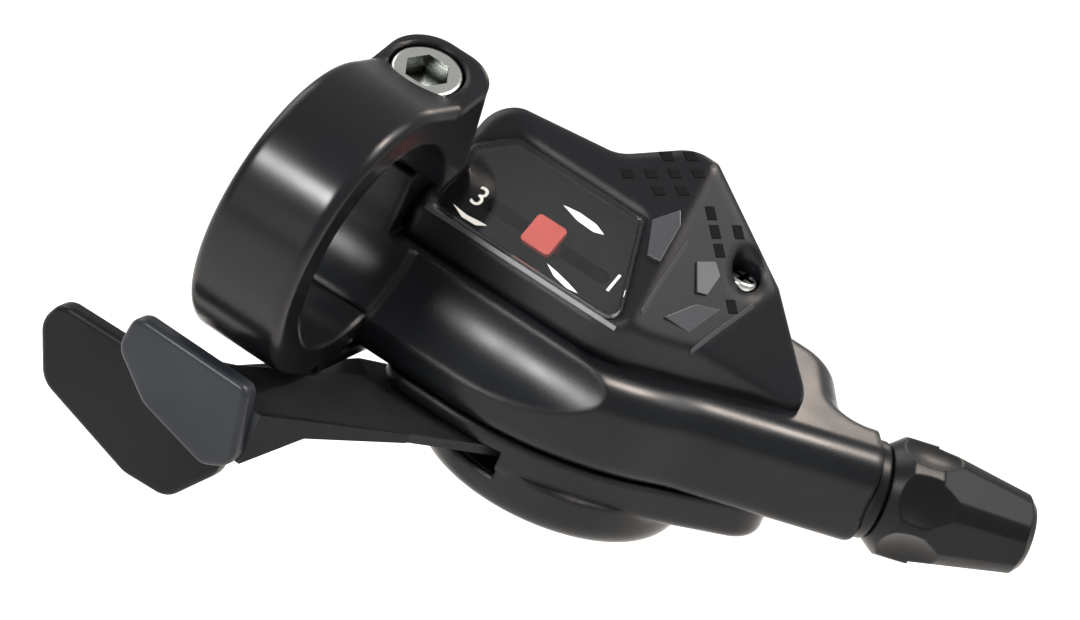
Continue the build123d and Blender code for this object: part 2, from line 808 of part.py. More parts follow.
def release_web():
    """The moulded web behind the release paddle: deep at the paddle, it tapers into the arm."""
    x, y = release_root()
    run = web_length
    lean = run * web_lean
    plan = polygon([
        (x + web_offset, y - 0.6), (x + web_offset + web_width, y - 0.6),
        (x + web_offset + web_width + lean, y + run), (x + web_offset + lean, y + run),
    ])
    web = prism(plan, release_top - web_depth, release_plate_top)
    deep = release_top - web_depth
    taper = Plane.YZ * polygon([
        (y - 1, deep - 1), (y - 1, deep), (y + web_gusset, release_plate_under - web_rib),
        (y + run, release_plate_under), (y + run + 1, deep - 1),
    ])
    return web - extrude(taper, 2 * axle_x, both=True)


def release_paddle():
    """Thumb paddle moulded on the release lever, with a web along its arm."""
    body = leaf(release_corners(), release_face_y, paddle_thickness, paddle_edge_round) + release_web()
    return body - release_lever()


def pull_flange():
    """The bent-down end of the pull lever inside its paddle."""
    x, y = pull_root()
    depth = 7.0
    return Pos(x, y, pull_top - depth / 2) * Box(9.0, tongue_thickness, depth)


def bent_arm(target, high, width, bend_from, bend_to, drop):
    """A lever arm of sheet metal that steps down between two distances from the axle."""
    away = Vector(target[0] - axle_x, target[1] - axle_y, 0)
    along = away.normalized()
    length = away.length
    low = lever_thickness
    side_plane = Plane((axle_x, axle_y, high), x_dir=along, z_dir=(along.Y, -along.X, 0))
    side = polygon([
        (0, 0), (bend_from, 0), (bend_to, -drop), (length, -drop),
        (length, -drop - low), (bend_to, -drop - low), (bend_from, -low), (0, -low),
    ])
    bent = extrude(side_plane * side, 2 * lever_hub_radius, both=True)
    half = width / 2
    plan = polygon([(0, lever_root_width / 2), (length, half), (length, -half), (0, -lever_root_width / 2)])
    heading = degrees(atan2(along.Y, along.X))
    return bent & (axle_at * Rot(0, 0, heading) * prism(plan, high - 2 * drop - 4, high + 1))


def pull_lever():
    """Pull lever: the lower plate, stepped down and bent at its end into the large paddle."""
    body = bent_arm(pull_root(), pull_plate_top, lever_arm_width, bend_start, bend_stop, pull_drop)
    body += disc(lever_hub_radius, pull_plate_under, pull_plate_top)
    body += pull_flange()
    pivot = on_axle(pull_pawl_angle, pull_pawl_reach)
    carrier = axle_at * Rot(0, 0, pull_pawl_angle) * Pos(pull_pawl_reach / 2, 0, 0) * prism(
        Rectangle(pull_pawl_reach, 2 * pin_diameter), pull_plate_under, pull_plate_top)
    carrier += Pos(*pivot, 0) * prism(Circle(pin_diameter), pull_plate_under, pull_plate_top)
    body += carrier
    body -= disc(axle_radius + running_fit, pull_plate_under, pull_plate_top)
    return body - Pos(*pivot, 0) * prism(Circle(pin_diameter / 2), pull_plate_under, pull_plate_top)


def pull_paddle():
    """Large thumb paddle moulded on the pull lever."""
    return leaf(pull_corners(), pull_face_y, paddle_thickness, paddle_edge_round) - pull_lever()


def flat_spring(inner, pitch, half_turns, thickness, low, high):
    """Flat spiral spring about the axle: half rings whose centre steps from side to side."""
    shape = None
    for step in range(half_turns):
        radius = inner + step * pitch / 2
        centre = pitch / 4 if step % 2 else -pitch / 4
        half_ring = Circle(radius + thickness) - Circle(radius)
        side = Pos(0, (-1) ** step * radius, 0) * Rectangle(4 * radius, 2 * radius)
        piece = Pos(centre, 0, 0) * (half_ring & side)
        shape = piece if shape is None else shape + piece
    return axle_at * prism(shape, low, high)


def adjuster_barrel():
    """Hollow threaded barrel: it carries the knob and passes the cable."""
    body = nose_plane * Pos(0, 0, -barrel_insert) * extrude(
        Circle(barrel_diameter / 2), barrel_insert + collar_length + knob_length - barrel_short)
    bore = extrude(Circle(barrel_bore / 2), barrel_insert + 2 * knob_length)
    return body - nose_plane * Pos(0, 0, -barrel_insert) * bore


def adjuster_collar():
    """Detent collar between the nose and the knob."""
    body = nose_plane * extrude(Circle(collar_diameter / 2), collar_length - part_gap / 2)
    body = chamfer(body.edges().filter_by(GeomType.CIRCLE), 0.3)
    return body - nose_plane * extrude(Circle(barrel_diameter / 2 + running_fit), collar_length)


def adjuster_knob():
    """Tapered knob with flats along its taper and a scalloped grip at its shoulder."""
    base = knob_diameter / 2
    end = knob_end_diameter / 2
    profile = polygon([
        (0, 0),
        (base - 1.2, 0),
        (base, 1.6),
        (base, knob_shoulder),
        (end, knob_length - 0.8),
        (end - 0.8, knob_length),
        (0, knob_length),
    ])
    body = revolve(Plane.XZ * profile, Axis.Z)
    for facet in range(knob_facets):
        around = Rot(0, 0, facet * 360 / knob_facets)
        lean_angle = degrees(atan((base - end) / (knob_length - knob_shoulder)))
        flat = Pos(base - facet_depth, 0, knob_shoulder) * Rot(0, -lean_angle, 0)
        slab = Box(knob_diameter, knob_diameter, 1.1 * knob_length)
        slab = Pos(knob_diameter / 2, 0, knob_length / 2) * slab
        body -= around * flat * slab
        hollow = Pos(base + scallop_radius - scallop_depth, 0, knob_shoulder * 0.62)
        body -= Rot(0, 0, (facet + 0.5) * 360 / knob_facets) * hollow * Sphere(scallop_radius)
    body -= extrude(Circle(barrel_diameter / 2), knob_length - barrel_short)
    body -= extrude(Circle(barrel_bore / 2 + 0.5), 2 * knob_length)
    return nose_plane * Pos(0, 0, collar_length) * body


def spring_stack():
    """Lower and upper height of the two lever return springs."""
    return release_plate_top + lever_spring_wire, ratchet_under - lever_spring_wire


def all_parts():
    """Every node of the assembly by its name."""
    spring_low, spring_high = spring_stack()
    wire = (lever_spring_pitch, lever_spring_halves, lever_spring_wire)
    pawl_low, pawl_high = pawl_levels()
    hold_pivot = on_axle(hold_pawl_angle, hold_pawl_reach)
    pull_pivot = on_axle(pull_pawl_angle, pull_pawl_reach)
    return {
        "clamp_band": clamp_band(),
        "clamp_bolt": clamp_bolt(),
        "clamp_nut": clamp_nut(),
        "foot_screw": foot_screw(),
        "upper_housing": upper_housing(),
        "lower_cover": lower_cover(),
        "lower_cover_screws": Compound(children=[Part(s.wrapped) for s in cover_screws()]),
        "indicator_cover": indicator_cover(),
        "indicator_lens": indicator_lens(),
        "indicator_dial": indicator_dial(),
        "indicator_needle": indicator_needle(),
        "indicator_screw": indicator_screw(),
        "base_plate": base_plate(),
        "main_axle": main_axle(),
        "axle_washer": axle_ring(washer_wall, washer_under, pull_plate_under),
        "axle_nut": axle_nut(),
        "lever_spacer": axle_ring(spacer_wall, release_plate_top, ratchet_under),
        "lever_washer": axle_ring(washer_wall, pull_plate_top, release_plate_under),
        "cable_spool": cable_spool(),
        "ratchet_wheel": ratchet_wheel(),
        "spool_spring": flat_spring(axle_radius + 1.1, 0.6, 3, 0.3, spool_top - 2.3, spool_top - 0.2),
        "hold_pawl": pawl(hold_pivot, hold_tip_angle, pawl_low, pawl_high),
        "hold_pawl_pin": pawl_pin(hold_pivot, pawl_low - 0.2, roof_under, pawl_low - 0.8),
        "pull_pawl": pawl(pull_pivot, pull_tip_angle, pawl_low, pawl_high),
        "pull_pawl_pin": Pos(*pull_pivot, 0) * prism(Circle(pin_diameter / 2), pull_plate_under, pawl_high),
        "pull_lever": pull_lever(),
        "pull_paddle": pull_paddle(),
        "pull_lever_spring": flat_spring(axle_radius + 4.0, *wire, spring_low, spring_high),
        "release_lever": release_lever(),
        "release_paddle": release_paddle(),
        "release_lever_spring": flat_spring(axle_radius + 1.4, *wire, spring_low, spring_high),
        "adjuster_barrel": adjuster_barrel(),
        "adjuster_collar": adjuster_collar(),
        "adjuster_knob": adjuster_knob(),
    }


os.makedirs("parts", exist_ok=True)
for name, shape in all_parts().items():
    export_step(shape, f"parts/{name}.step")
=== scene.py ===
# %% [markdown]
# # A trigger gear shifter on its clamp
# This lesson dresses a finished mechanical model of a bicycle gear shifter. The metal and plastic solids are
# loaded as a fixed frame, so every new piece only has to be placed in that frame and told which body it rides on.

# %% Load the frame
import math

import bpy
from mathutils import Matrix, Vector


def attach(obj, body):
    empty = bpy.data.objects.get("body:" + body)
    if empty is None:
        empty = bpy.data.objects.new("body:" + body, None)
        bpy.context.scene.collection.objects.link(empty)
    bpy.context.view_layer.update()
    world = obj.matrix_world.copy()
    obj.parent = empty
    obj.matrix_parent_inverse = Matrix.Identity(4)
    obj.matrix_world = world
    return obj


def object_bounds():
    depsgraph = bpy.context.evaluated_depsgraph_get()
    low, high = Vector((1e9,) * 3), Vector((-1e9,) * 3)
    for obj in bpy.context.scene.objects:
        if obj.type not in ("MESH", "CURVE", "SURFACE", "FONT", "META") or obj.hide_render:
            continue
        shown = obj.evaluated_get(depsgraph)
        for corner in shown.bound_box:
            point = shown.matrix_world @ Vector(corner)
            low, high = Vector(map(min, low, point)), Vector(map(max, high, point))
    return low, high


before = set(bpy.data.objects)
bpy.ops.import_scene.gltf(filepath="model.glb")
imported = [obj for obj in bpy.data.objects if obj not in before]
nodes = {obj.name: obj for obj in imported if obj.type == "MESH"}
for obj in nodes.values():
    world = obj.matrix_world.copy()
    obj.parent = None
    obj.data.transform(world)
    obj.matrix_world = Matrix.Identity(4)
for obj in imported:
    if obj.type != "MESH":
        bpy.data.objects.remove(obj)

MM = 0.001
cad_box = [list(corner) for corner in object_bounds()]
print("nodes loaded:", len(nodes), "box in mm:", [[round(v / MM, 1) for v in corner] for corner in cad_box])

# %% [markdown]
# ## The camera
# The shifter was pictured with a long lens, from the rider's side and a little above, with the picture rolled.
# A camera could be aimed with a constraint, but three axes written as a matrix give the roll as well. The lens is
# long, so that lines stay nearly parallel, and the distance follows from how many millimetres the picture shows.

# %% Camera at the picture's angle
IMAGE_WIDTH, IMAGE_HEIGHT = 1080, 620
AZIMUTH, ELEVATION, ROLL = (math.radians(angle) for angle in (19.2, 24.8, 24.7))
PIXELS_PER_MM = 10.7
BORE_PIXEL = (328, 217)
CAMERA_DISTANCE = 1.2
SENSOR_WIDTH = 36

to_camera = Vector((
    math.sin(AZIMUTH) * math.cos(ELEVATION), -math.cos(AZIMUTH) * math.cos(ELEVATION), math.sin(ELEVATION)))
level_right = Vector((math.cos(AZIMUTH), math.sin(AZIMUTH), 0))
level_up = to_camera.cross(level_right)
image_right = level_right * math.cos(ROLL) + level_up * math.sin(ROLL)
image_up = level_up * math.cos(ROLL) - level_right * math.sin(ROLL)
right_of_bore = (IMAGE_WIDTH / 2 - BORE_PIXEL[0]) / PIXELS_PER_MM
below_bore = (IMAGE_HEIGHT / 2 - BORE_PIXEL[1]) / PIXELS_PER_MM
target = (image_right * right_of_bore - image_up * below_bore) * MM

camera_data = bpy.data.cameras.new("photo_camera")
camera_data.sensor_width = SENSOR_WIDTH
camera_data.lens = SENSOR_WIDTH * CAMERA_DISTANCE / (IMAGE_WIDTH / PIXELS_PER_MM * MM)
camera_data.clip_start = 0.05
camera = bpy.data.objects.new("photo_camera", camera_data)
axes = Matrix((image_right, image_up, to_camera)).transposed().to_4x4()
camera.matrix_world = Matrix.Translation(target + to_camera * CAMERA_DISTANCE) @ axes
bpy.context.scene.collection.objects.link(camera)
bpy.context.scene.camera = camera
print("camera lens in mm:", round(camera_data.lens, 1))

# %% [markdown]
# ## Helpers for finishes
# Every finish here is a small tree of nodes. One function turns the hex value that a colour picker shows into the
# linear numbers that the renderer adds up. Another adds a node, sets it up and links it in one call. The third
# starts an empty material, with the place of each point for the patterns to follow.

# %% Colour and node helpers
def linear(hex_value):
    """An sRGB hex colour as linear red, green, blue and alpha."""
    channels = [int(hex_value[i:i + 2], 16) / 255 for i in (1, 3, 5)]
    return [c / 12.92 if c <= 0.04045 else ((c + 0.055) / 1.055) ** 2.4 for c in channels] + [1.0]


def add(tree, kind, links=None, **settings):
    """Adds a node, sets its properties or sockets by name, and links the given sockets into it."""
    node = tree.nodes.new("ShaderNode" + kind)
    for name, value in settings.items():
        if hasattr(node, name):
            setattr(node, name, value)
        else:
            node.inputs[name.replace("_", " ")].default_value = value
    for name, source in (links or {}).items():
        tree.links.new(source, node.inputs[name])
    return node


def empty_material(name):
    """A new material, its empty node tree, and the place of each shaded point in its object, in metres."""
    material = bpy.data.materials.new(name)
    material.use_nodes = True
    tree = material.node_tree
    tree.nodes.clear()
    return material, tree, add(tree, "TexCoord").outputs["Object"]


print("white in linear numbers:", linear("#ffffff"))

# %% [markdown]
# ## Moulded plastics
# The housing, the strap, the paddles and the knob are glass-filled nylon, moulded in steel tools. The tool's spark
# eroded skin leaves a fine grain, about a third of a millimetre across, and thumbs polish it in soft patches. Grain
# goes into the bump, patches into the roughness and a little into the colour. No moulding has a knife edge, so the
# larger pieces also shade their edges as if they were rounded, which costs no geometry.

# %% A plastic as it leaves the mould
PATCH_MM = 9
PATCH_STOPS = (0.32, 0.68)
PATCH_SWING = 0.05
# Most of a noise pattern stays between these two values.
NOISE_LOW, NOISE_HIGH = 0.3, 0.7


def moulded(name, dark, light, roughness, grain_mm, grain_depth_mm, coat=0.0, round_mm=0.0, shine=0.5):
    """Plastic as it leaves the mould: a grained skin, soft patches where it is handled, and rounded edges."""
    material, tree, place = empty_material(name)
    patch = add(tree, "TexNoise", {"Vector": place}, Scale=1 / (PATCH_MM * MM), Detail=3.0)
    grain = add(tree, "TexNoise", {"Vector": place}, Scale=1 / (grain_mm * MM), Detail=2.0)
    ramp = add(tree, "ValToRGB", {"Fac": patch.outputs["Fac"]})
    for end, stop, colour in zip(ramp.color_ramp.elements, PATCH_STOPS, (dark, light)):
        end.position = stop
        end.color = linear(colour)
    rough = add(tree, "MapRange", {"Value": patch.outputs["Fac"]}, From_Min=NOISE_LOW, From_Max=NOISE_HIGH,
                To_Min=roughness + PATCH_SWING, To_Max=roughness - PATCH_SWING)
    links = {"Height": grain.outputs["Fac"]}
    if round_mm:
        links["Normal"] = add(tree, "Bevel", samples=6, Radius=round_mm * MM).outputs["Normal"]
    bump = add(tree, "Bump", links, Strength=0.6, Distance=grain_depth_mm * MM)
    shader = add(tree, "BsdfPrincipled", {
        "Base Color": ramp.outputs["Color"], "Roughness": rough.outputs["Result"], "Normal": bump.outputs["Normal"],
    }, IOR=1.53, Specular_IOR_Level=shine, Coat_Weight=coat, Coat_Roughness=0.2)
    add(tree, "OutputMaterial", {"Surface": shader.outputs["BSDF"]})
    return material


print("thumb-polished patches in mm:", PATCH_MM)

# %% [markdown]
# ## The plastics of this part
# All are nearly the same black, and the eye tells them apart by their shine: how sharp a highlight is, and how much
# of the room they mirror. The comments say what each surface gives the eye.

# %% Plastics
# Fine tool skin: a satin body whose highlights are broad and a little broken.
body_nylon = moulded("satin_moulded_nylon", "#0f1113", "#15171a", 0.26, 0.35, 0.006, round_mm=0.9, shine=0.25)
# A finer skin on the facets: each plane reads as one even tone.
cover_nylon = moulded("fine_moulded_nylon", "#0f1013", "#15161a", 0.27, 0.30, 0.004, round_mm=1.4, shine=0.30)
# Polished tool and a wiped surface: long, sharper highlights round the strap.
strap_nylon = moulded("gloss_moulded_nylon", "#0e0f11", "#141518", 0.24, 0.50, 0.003, coat=0.1, round_mm=0.8,
                      shine=0.25)
# Coloured in the mass: a dark grey leaf that stands out from the black behind it.
grey_paddle_nylon = moulded("grey_moulded_nylon", "#25282d", "#2d3036", 0.34, 0.35, 0.008, shine=0.25)
# Coarser and duller: the large paddle stays in the background.
black_paddle_nylon = moulded("black_moulded_nylon", "#0e1012", "#131618", 0.36, 0.35, 0.008, shine=0.16)
# Smooth flats: every facet of the knob takes its own tone.
knob_nylon = moulded("smooth_moulded_nylon", "#0f1011", "#151618", 0.30, 0.30, 0.004, round_mm=0.4, shine=0.18)
# Eroded rough: the grip squares mirror nothing and look darker than the cover.
pit_nylon = moulded("coarse_moulded_nylon", "#070709", "#0b0b0d", 0.70, 0.20, 0.010, shine=0.12)
# Facets and lips: a lighter colour than the cover round them, a painted highlight.
highlight_painted_nylon = moulded("nylon_with_painted_highlight", "#3a3b3f", "#44454a", 0.26, 0.40, 0.003)
# A matt dial: nearly no reflection, so that the white marks stand out.
dial_polystyrene = moulded("matt_moulded_polystyrene", "#040405", "#070708", 0.50, 0.20, 0.001, shine=0.06)
# Opaque red: an even colour with hardly any highlight.
needle_abs = moulded("red_moulded_abs", "#903d37", "#9a4740", 0.40, 0.30, 0.003, shine=0.15)
# Slippery and a little waxy, for the spool inside.
inner_acetal = moulded("natural_moulded_acetal", "#1c1c1e", "#242427", 0.40, 0.40, 0.004)
# Printed, not moulded, but the same tree serves: a dull white film with a faint unevenness.
white_ink = moulded("white_printed_ink", "#eeeeea", "#f8f8f5", 0.5, 0.15, 0.003)
print("plastics and ink:", len(bpy.data.materials))

# %% [markdown]
# ## Plated and coated steel
# The pinch bolt, the screws and the axle are turned or cold headed steel with a zinc plating: bright, with fine
# lines from the tool. The stamped plates show the rolling direction of the sheet, and the lever arms are dip coated
# in black. The lines sit in the roughness and in a faint bump. Shade is painted into the sockets: a node that
# measures how much open sky a point sees darkens the colour of the deep places.

# %% Steels
LINE_STRETCH = 12
LINE_SWING = 0.06


def steel(name, dark, light, roughness, line_mm, metallic=1.0, paint_hollow_shade=False):
    """Steel with fine lines along one direction, left by turning or rolling."""
    material, tree, place = empty_material(name)
    stretch = add(tree, "Mapping", {"Vector": place}, Scale=(1.0, 1.0, LINE_STRETCH))
    lines = add(tree, "TexNoise", {"Vector": stretch.outputs["Vector"]}, Scale=1 / (line_mm * LINE_STRETCH * MM),
                Detail=4.0)
    ramp = add(tree, "ValToRGB", {"Fac": lines.outputs["Fac"]})
    for end, stop, colour in zip(ramp.color_ramp.elements, (NOISE_LOW, NOISE_HIGH), (dark, light)):
        end.position = stop
        end.color = linear(colour)
    rough = add(tree, "MapRange", {"Value": lines.outputs["Fac"]}, From_Min=NOISE_LOW, From_Max=NOISE_HIGH,
                To_Min=roughness + LINE_SWING, To_Max=roughness - LINE_SWING)
    bump = add(tree, "Bump", {"Height": lines.outputs["Fac"]}, Strength=0.3, Distance=0.004 * MM)
    colour = ramp.outputs["Color"]
    # Painted shade: the colour darkens towards a dark green-grey where a point sees little open sky, as in a
    # socket.
    if paint_hollow_shade:
        open_sky = add(tree, "AmbientOcclusion", samples=8, Distance=2.5 * MM).outputs["AO"]
        unshaded_share = add(tree, "MapRange", {"Value": open_sky}, From_Min=0.45, From_Max=0.85)
        colour = add(tree, "Mix", {"Factor": unshaded_share.outputs["Result"], "B": colour}, data_type="RGBA",
                     A=linear("#20261f")).outputs["Result"]
    shader = add(tree, "BsdfPrincipled", {
        "Base Color": colour, "Roughness": rough.outputs["Result"], "Normal": bump.outputs["Normal"],
    }, Metallic=metallic, Specular_IOR_Level=0.25)
    add(tree, "OutputMaterial", {"Surface": shader.outputs["BSDF"]})
    return material


# All lines are drawn a little coarser than tools and rollers leave them, so that they show in the render.
# Bright and slightly cold, with painted shade in the socket.
zinc_steel = steel("zinc_plated_turned_steel", "#b9bdb9", "#d6d8d4", 0.28, 0.12, paint_hollow_shade=True)
# Greyer and softer, with the lines of the rolled sheet.
sheet_steel = steel("rolled_sheet_steel", "#8d8f90", "#a9abab", 0.34, 0.15)
# Dark grey wire with a sharp highlight.
spring_steel = steel("drawn_spring_steel", "#6a6d70", "#85888b", 0.30, 0.10)
# A black skin hides the metal: dull, with the sheet's lines just showing.
coated_steel = steel("black_dip_coated_steel", "#141517", "#1e1f21", 0.42, 0.30, metallic=0.0)
print("materials:", len(bpy.data.materials))

# %% [markdown]
# ## The clear lens
# The window is clear polycarbonate with polished faces. Faint moulding waves, a few millimetres long, keep it from
# looking like sheet glass. On the real part light falls through the window on the dial. A renderer doesn't bend its
# shadow rays, so a refracting lens would leave the dial dark. The lens is therefore nearly open to shadow rays, and
# refracts all others.

# %% Lens
WAVE_MM = 5
SHADOW_LEFT = 0.08


def clear_lens():
    """Polished polycarbonate with faint moulding waves, which lets the light through to the dial."""
    material, tree, place = empty_material("polished_clear_polycarbonate")
    waves = add(tree, "TexNoise", {"Vector": place}, Scale=1 / (WAVE_MM * MM), Detail=1.0)
    bump = add(tree, "Bump", {"Height": waves.outputs["Fac"]}, Strength=0.15, Distance=0.02 * MM)
    ray = add(tree, "LightPath")
    solid = add(tree, "MapRange", {"Value": ray.outputs["Is Shadow Ray"]}, To_Min=1.0, To_Max=SHADOW_LEFT)
    shader = add(tree, "BsdfPrincipled", {"Normal": bump.outputs["Normal"], "Alpha": solid.outputs["Result"]},
                 Base_Color=linear("#f2f4f6"), Roughness=0.04, IOR=1.58, Specular_IOR_Level=0.1,
                 Transmission_Weight=1.0)
    add(tree, "OutputMaterial", {"Surface": shader.outputs["BSDF"]})
    return material


# Clear, with a thin and sharp reflection: the dial shows through it, a little nearer than it lies.
lens_polycarbonate = clear_lens()
print("lens:", lens_polycarbonate.name)

# %% [markdown]
# ## Finishes on the solids
# Each solid of the frame keeps its shape and gets the finish of the real piece. The front paddle has a grey leaf
# for the thumb; its faces that lie far behind the front of the leaf, the web that grips the lever among them, take
# the black finish as painted shade.

# %% Assign the finishes
LEAF_DEPTH = 2.45
finishes = {
    strap_nylon: ["clamp_band"],
    body_nylon: ["upper_housing", "lower_cover"],
    cover_nylon: ["indicator_cover"],
    grey_paddle_nylon: ["release_paddle"],
    black_paddle_nylon: ["pull_paddle"],
    knob_nylon: ["adjuster_knob", "adjuster_collar"],
    dial_polystyrene: ["indicator_dial"],
    needle_abs: ["indicator_needle"],
    inner_acetal: ["cable_spool"],
    lens_polycarbonate: ["indicator_lens"],
    zinc_steel: ["clamp_bolt", "clamp_nut", "foot_screw", "lower_cover_screws", "indicator_screw", "main_axle",
                 "axle_nut", "lever_spacer", "hold_pawl_pin", "pull_pawl_pin", "adjuster_barrel"],
    sheet_steel: ["base_plate", "axle_washer", "lever_washer", "ratchet_wheel", "hold_pawl", "pull_pawl"],
    spring_steel: ["spool_spring", "pull_lever_spring", "release_lever_spring"],
    coated_steel: ["pull_lever", "release_lever"],
}
for finish, names in finishes.items():
    for name in names:
        nodes[name].data.materials.clear()
        nodes[name].data.materials.append(finish)

# Painted shade: faces far behind the front of the leaf take the black finish.
paddle = nodes["release_paddle"].data
paddle.materials.append(black_paddle_nylon)
leaf_front = min(corner.co.y for corner in paddle.vertices)
for face in paddle.polygons:
    face.material_index = int(face.center.y > leaf_front + LEAF_DEPTH * MM)
print("finished nodes:", sum(len(names) for names in finishes.values()), "of", len(nodes))

# %% [markdown]
# ## Places on the indicator cover
# The cover is cut from flat facets, as a gem is: the dial facet rises forward, the pad falls along the bar as it
# rises, and a steeper skirt follows the pad. At any place seen from above, the lowest of the three planes is the
# cover's own surface. One function uses that to give a point on the cover, lifted along the facet's normal, and a
# second one measures up the slope of the dial.

# %% Points on the facets
COVER_NEAR = 12.8
DIAL_SLOPE = math.radians(42)
DIAL_SINK = 2.0
DIAL_RISE = math.tan(DIAL_SLOPE)
PAD_START_X = 27.3
PAD_FALL = PAD_RISE = math.tan(math.radians(35))
SKIRT_FALL, SKIRT_RISE = math.tan(math.radians(48.4)), math.tan(math.radians(37.9))
SKIRT_POINT = (33.6, 25.94, 4.79)
# Each facet: how it falls along the bar, how it rises forward, and a point that it goes through.
FACETS = (
    (0, DIAL_RISE, 0, COVER_NEAR, 0),
    (PAD_FALL, PAD_RISE, PAD_START_X, COVER_NEAR, 0),
    (SKIRT_FALL, SKIRT_RISE, *SKIRT_POINT),
)


def on_cover(x, y, height):
    """A point on the cover in metres, at a place seen from above and a height out of the facet there."""
    low, fall, rise = min((z0 + rise * (y - y0) - fall * (x - x0), fall, rise) for fall, rise, x0, y0, z0 in FACETS)
    return (Vector((x, y, low)) + Vector((fall, -rise, 1)).normalized() * height) * MM


def on_dial(x, along, height):
    """A point on the dial facet in metres: x along the bar, then up the slope, then out of the facet."""
    y = COVER_NEAR + along * math.cos(DIAL_SLOPE) - height * math.sin(DIAL_SLOPE)
    return Vector((x, y, along * math.sin(DIAL_SLOPE) + height * math.cos(DIAL_SLOPE))) * MM


print("facets:", len(FACETS))

# %% [markdown]
# ## Small solids
# The pieces that follow are moulded or printed on the housing: flat marks, small prisms and bars. They could be cut
# with modifiers, but listed corners stay where they are put. One function skins rings of corners, a second
# one gives a mesh its finish and has it ride on the housing, and a third one does both and rounds the edges.

# %% Building small solids
def loft(rings):
    """Points and faces of a closed solid through rings that have as many corners each."""
    count = len(rings[0])
    points = [corner for ring in rings for corner in ring]
    faces = [tuple(reversed(range(count))), tuple(range(len(points) - count, len(points)))]
    for start in range(0, len(points) - count, count):
        ahead = [start + (k + 1) % count for k in range(count)]
        faces += [(start + k, ahead[k], ahead[k] + count, start + k + count) for k in range(count)]
    return points, faces


def on_housing(name, mesh, finish):
    """A piece of the housing made of a mesh with one finish."""
    mesh.materials.clear()
    mesh.materials.append(finish)
    shape = bpy.data.objects.new(name, mesh)
    bpy.context.scene.collection.objects.link(shape)
    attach(shape, "housing")
    return shape


def solid_piece(name, points, faces, finish, edge_mm=0.0):
    """A piece made of points and faces, with its edges rounded where a width is given."""
    mesh = bpy.data.meshes.new(name)
    mesh.from_pydata(points, [], faces)
    shape = on_housing(name, mesh, finish)
    if edge_mm:
        bevel = shape.modifiers.new("soft_edges", "BEVEL")
        bevel.width = edge_mm * MM
        bevel.segments = 2


print("faces of a lofted block:", len(loft([range(4), range(4)])[1]))

# %% [markdown]
# ## Dial marks
# The dial shows the gear numbers with tapering strokes beside them, pad printed in white. Text from the built-in
# font is turned into a thin mesh, so the marks stay sharp at any distance, and laid a hair above the dial. The 2
# stands under the red needle, and comes to light when the needle slides away.

# %% Numbers
NUMBER_SIZE = 3.0
NUMBER_ALONG = 4.6
NUMBER_MIDDLE, NUMBER_HALF = 0.02, 0.015
NUMBERS = {"3": 6.7, "2": 14.3, "1": 22.4}

dial_up = Vector((0, math.cos(DIAL_SLOPE), math.sin(DIAL_SLOPE)))
dial_out = Vector((0, -math.sin(DIAL_SLOPE), math.cos(DIAL_SLOPE)))
dial_turn = Matrix((Vector((1, 0, 0)), dial_up, dial_out)).transposed().to_4x4()
for text, x in NUMBERS.items():
    letters = bpy.data.curves.new("number_" + text, "FONT")
    letters.body = text
    letters.size = NUMBER_SIZE * MM
    letters.align_x = "CENTER"
    letters.align_y = "CENTER"
    letters.extrude = NUMBER_HALF * MM
    maker = bpy.data.objects.new("number_maker", letters)
    mesh = bpy.data.meshes.new_from_object(maker)
    bpy.data.objects.remove(maker)
    mesh.transform(Matrix.Translation(on_dial(x, NUMBER_ALONG, NUMBER_MIDDLE - DIAL_SINK)) @ dial_turn)
    on_housing("dial_number_" + text, mesh, white_ink)
print("numbers:", len(NUMBERS))

# %% Strokes
INK_LOW, INK_HIGH = 0.004, 0.034
STROKES = {
    "under_three": [(5.1, 2.6), (6.6, 1.95), (8.2, 2.0), (9.1, 2.6), (8.2, 2.55), (6.8, 2.4)],
    "under_two": [(16.1, 2.7), (17.4, 2.0), (19.2, 1.65), (20.3, 1.85), (19.0, 2.2), (17.5, 2.5)],
    "over_two": [(13.6, 8.6), (15.6, 8.05), (17.6, 7.95), (18.6, 8.3), (17.4, 8.75), (15.4, 8.85)],
}
for name, outline in STROKES.items():
    rings = [[on_dial(x, along, height - DIAL_SINK) for x, along in outline] for height in (INK_LOW, INK_HIGH)]
    solid_piece("dial_stroke_" + name, *loft(rings), white_ink)
print("strokes:", len(STROKES))

# %% [markdown]
# ## The grip squares
# A pattern of dark squares runs over the top of the cover, on both sides of the ridge. It could be a picture, but a
# picture blurs close up and lies flat at the silhouette. Here each square is a low tapered block. Two vectors step
# from square to square on each side of the ridge, and all the blocks join into one mesh.

# %% Where the pattern lies
SCREW_PLACE, SCREW_MARGIN = (31.0, 26.0), 2.7
RIDGE_MARGIN = 0.75
PATTERN_END_X = 32.7
# The far edge climbs along the bar up to the hump of the cover.
FAR_START, FAR_CLIMB, FAR_TOP = (15.0, 23.7), 0.64, 27.1
# The near edge is level on the dial's side. On the pad it falls towards the screw, and is lower below it.
NEAR_DIAL = 23.2
NEAR_PAD, NEAR_FALL = (28.4, 23.4), 0.3
NEAR_SCREW = (30.5, 22.3)


def ridge_x(y):
    """Where the dial facet meets the pad, seen from above."""
    return PAD_START_X - (y - COVER_NEAR) * (DIAL_RISE - PAD_RISE) / PAD_FALL


def near_edge(x, on_pad):
    """How near to the rider the pattern reaches at a place along the bar."""
    if not on_pad:
        return NEAR_DIAL
    if x > NEAR_SCREW[0]:
        return NEAR_SCREW[1]
    return NEAR_PAD[1] + max(0, NEAR_PAD[0] - x) * NEAR_FALL


def carries_square(x, y, on_pad):
    """True where the cover carries its pattern, seen from above."""
    beside_ridge = x - ridge_x(y) if on_pad else ridge_x(y) - x
    from_screw = math.hypot(x - SCREW_PLACE[0], y - SCREW_PLACE[1])
    far_edge = min(FAR_TOP, FAR_START[1] + (x - FAR_START[0]) * FAR_CLIMB)
    in_field = near_edge(x, on_pad) < y < far_edge and x < PATTERN_END_X
    return in_field and beside_ridge > RIDGE_MARGIN and from_screw > SCREW_MARGIN


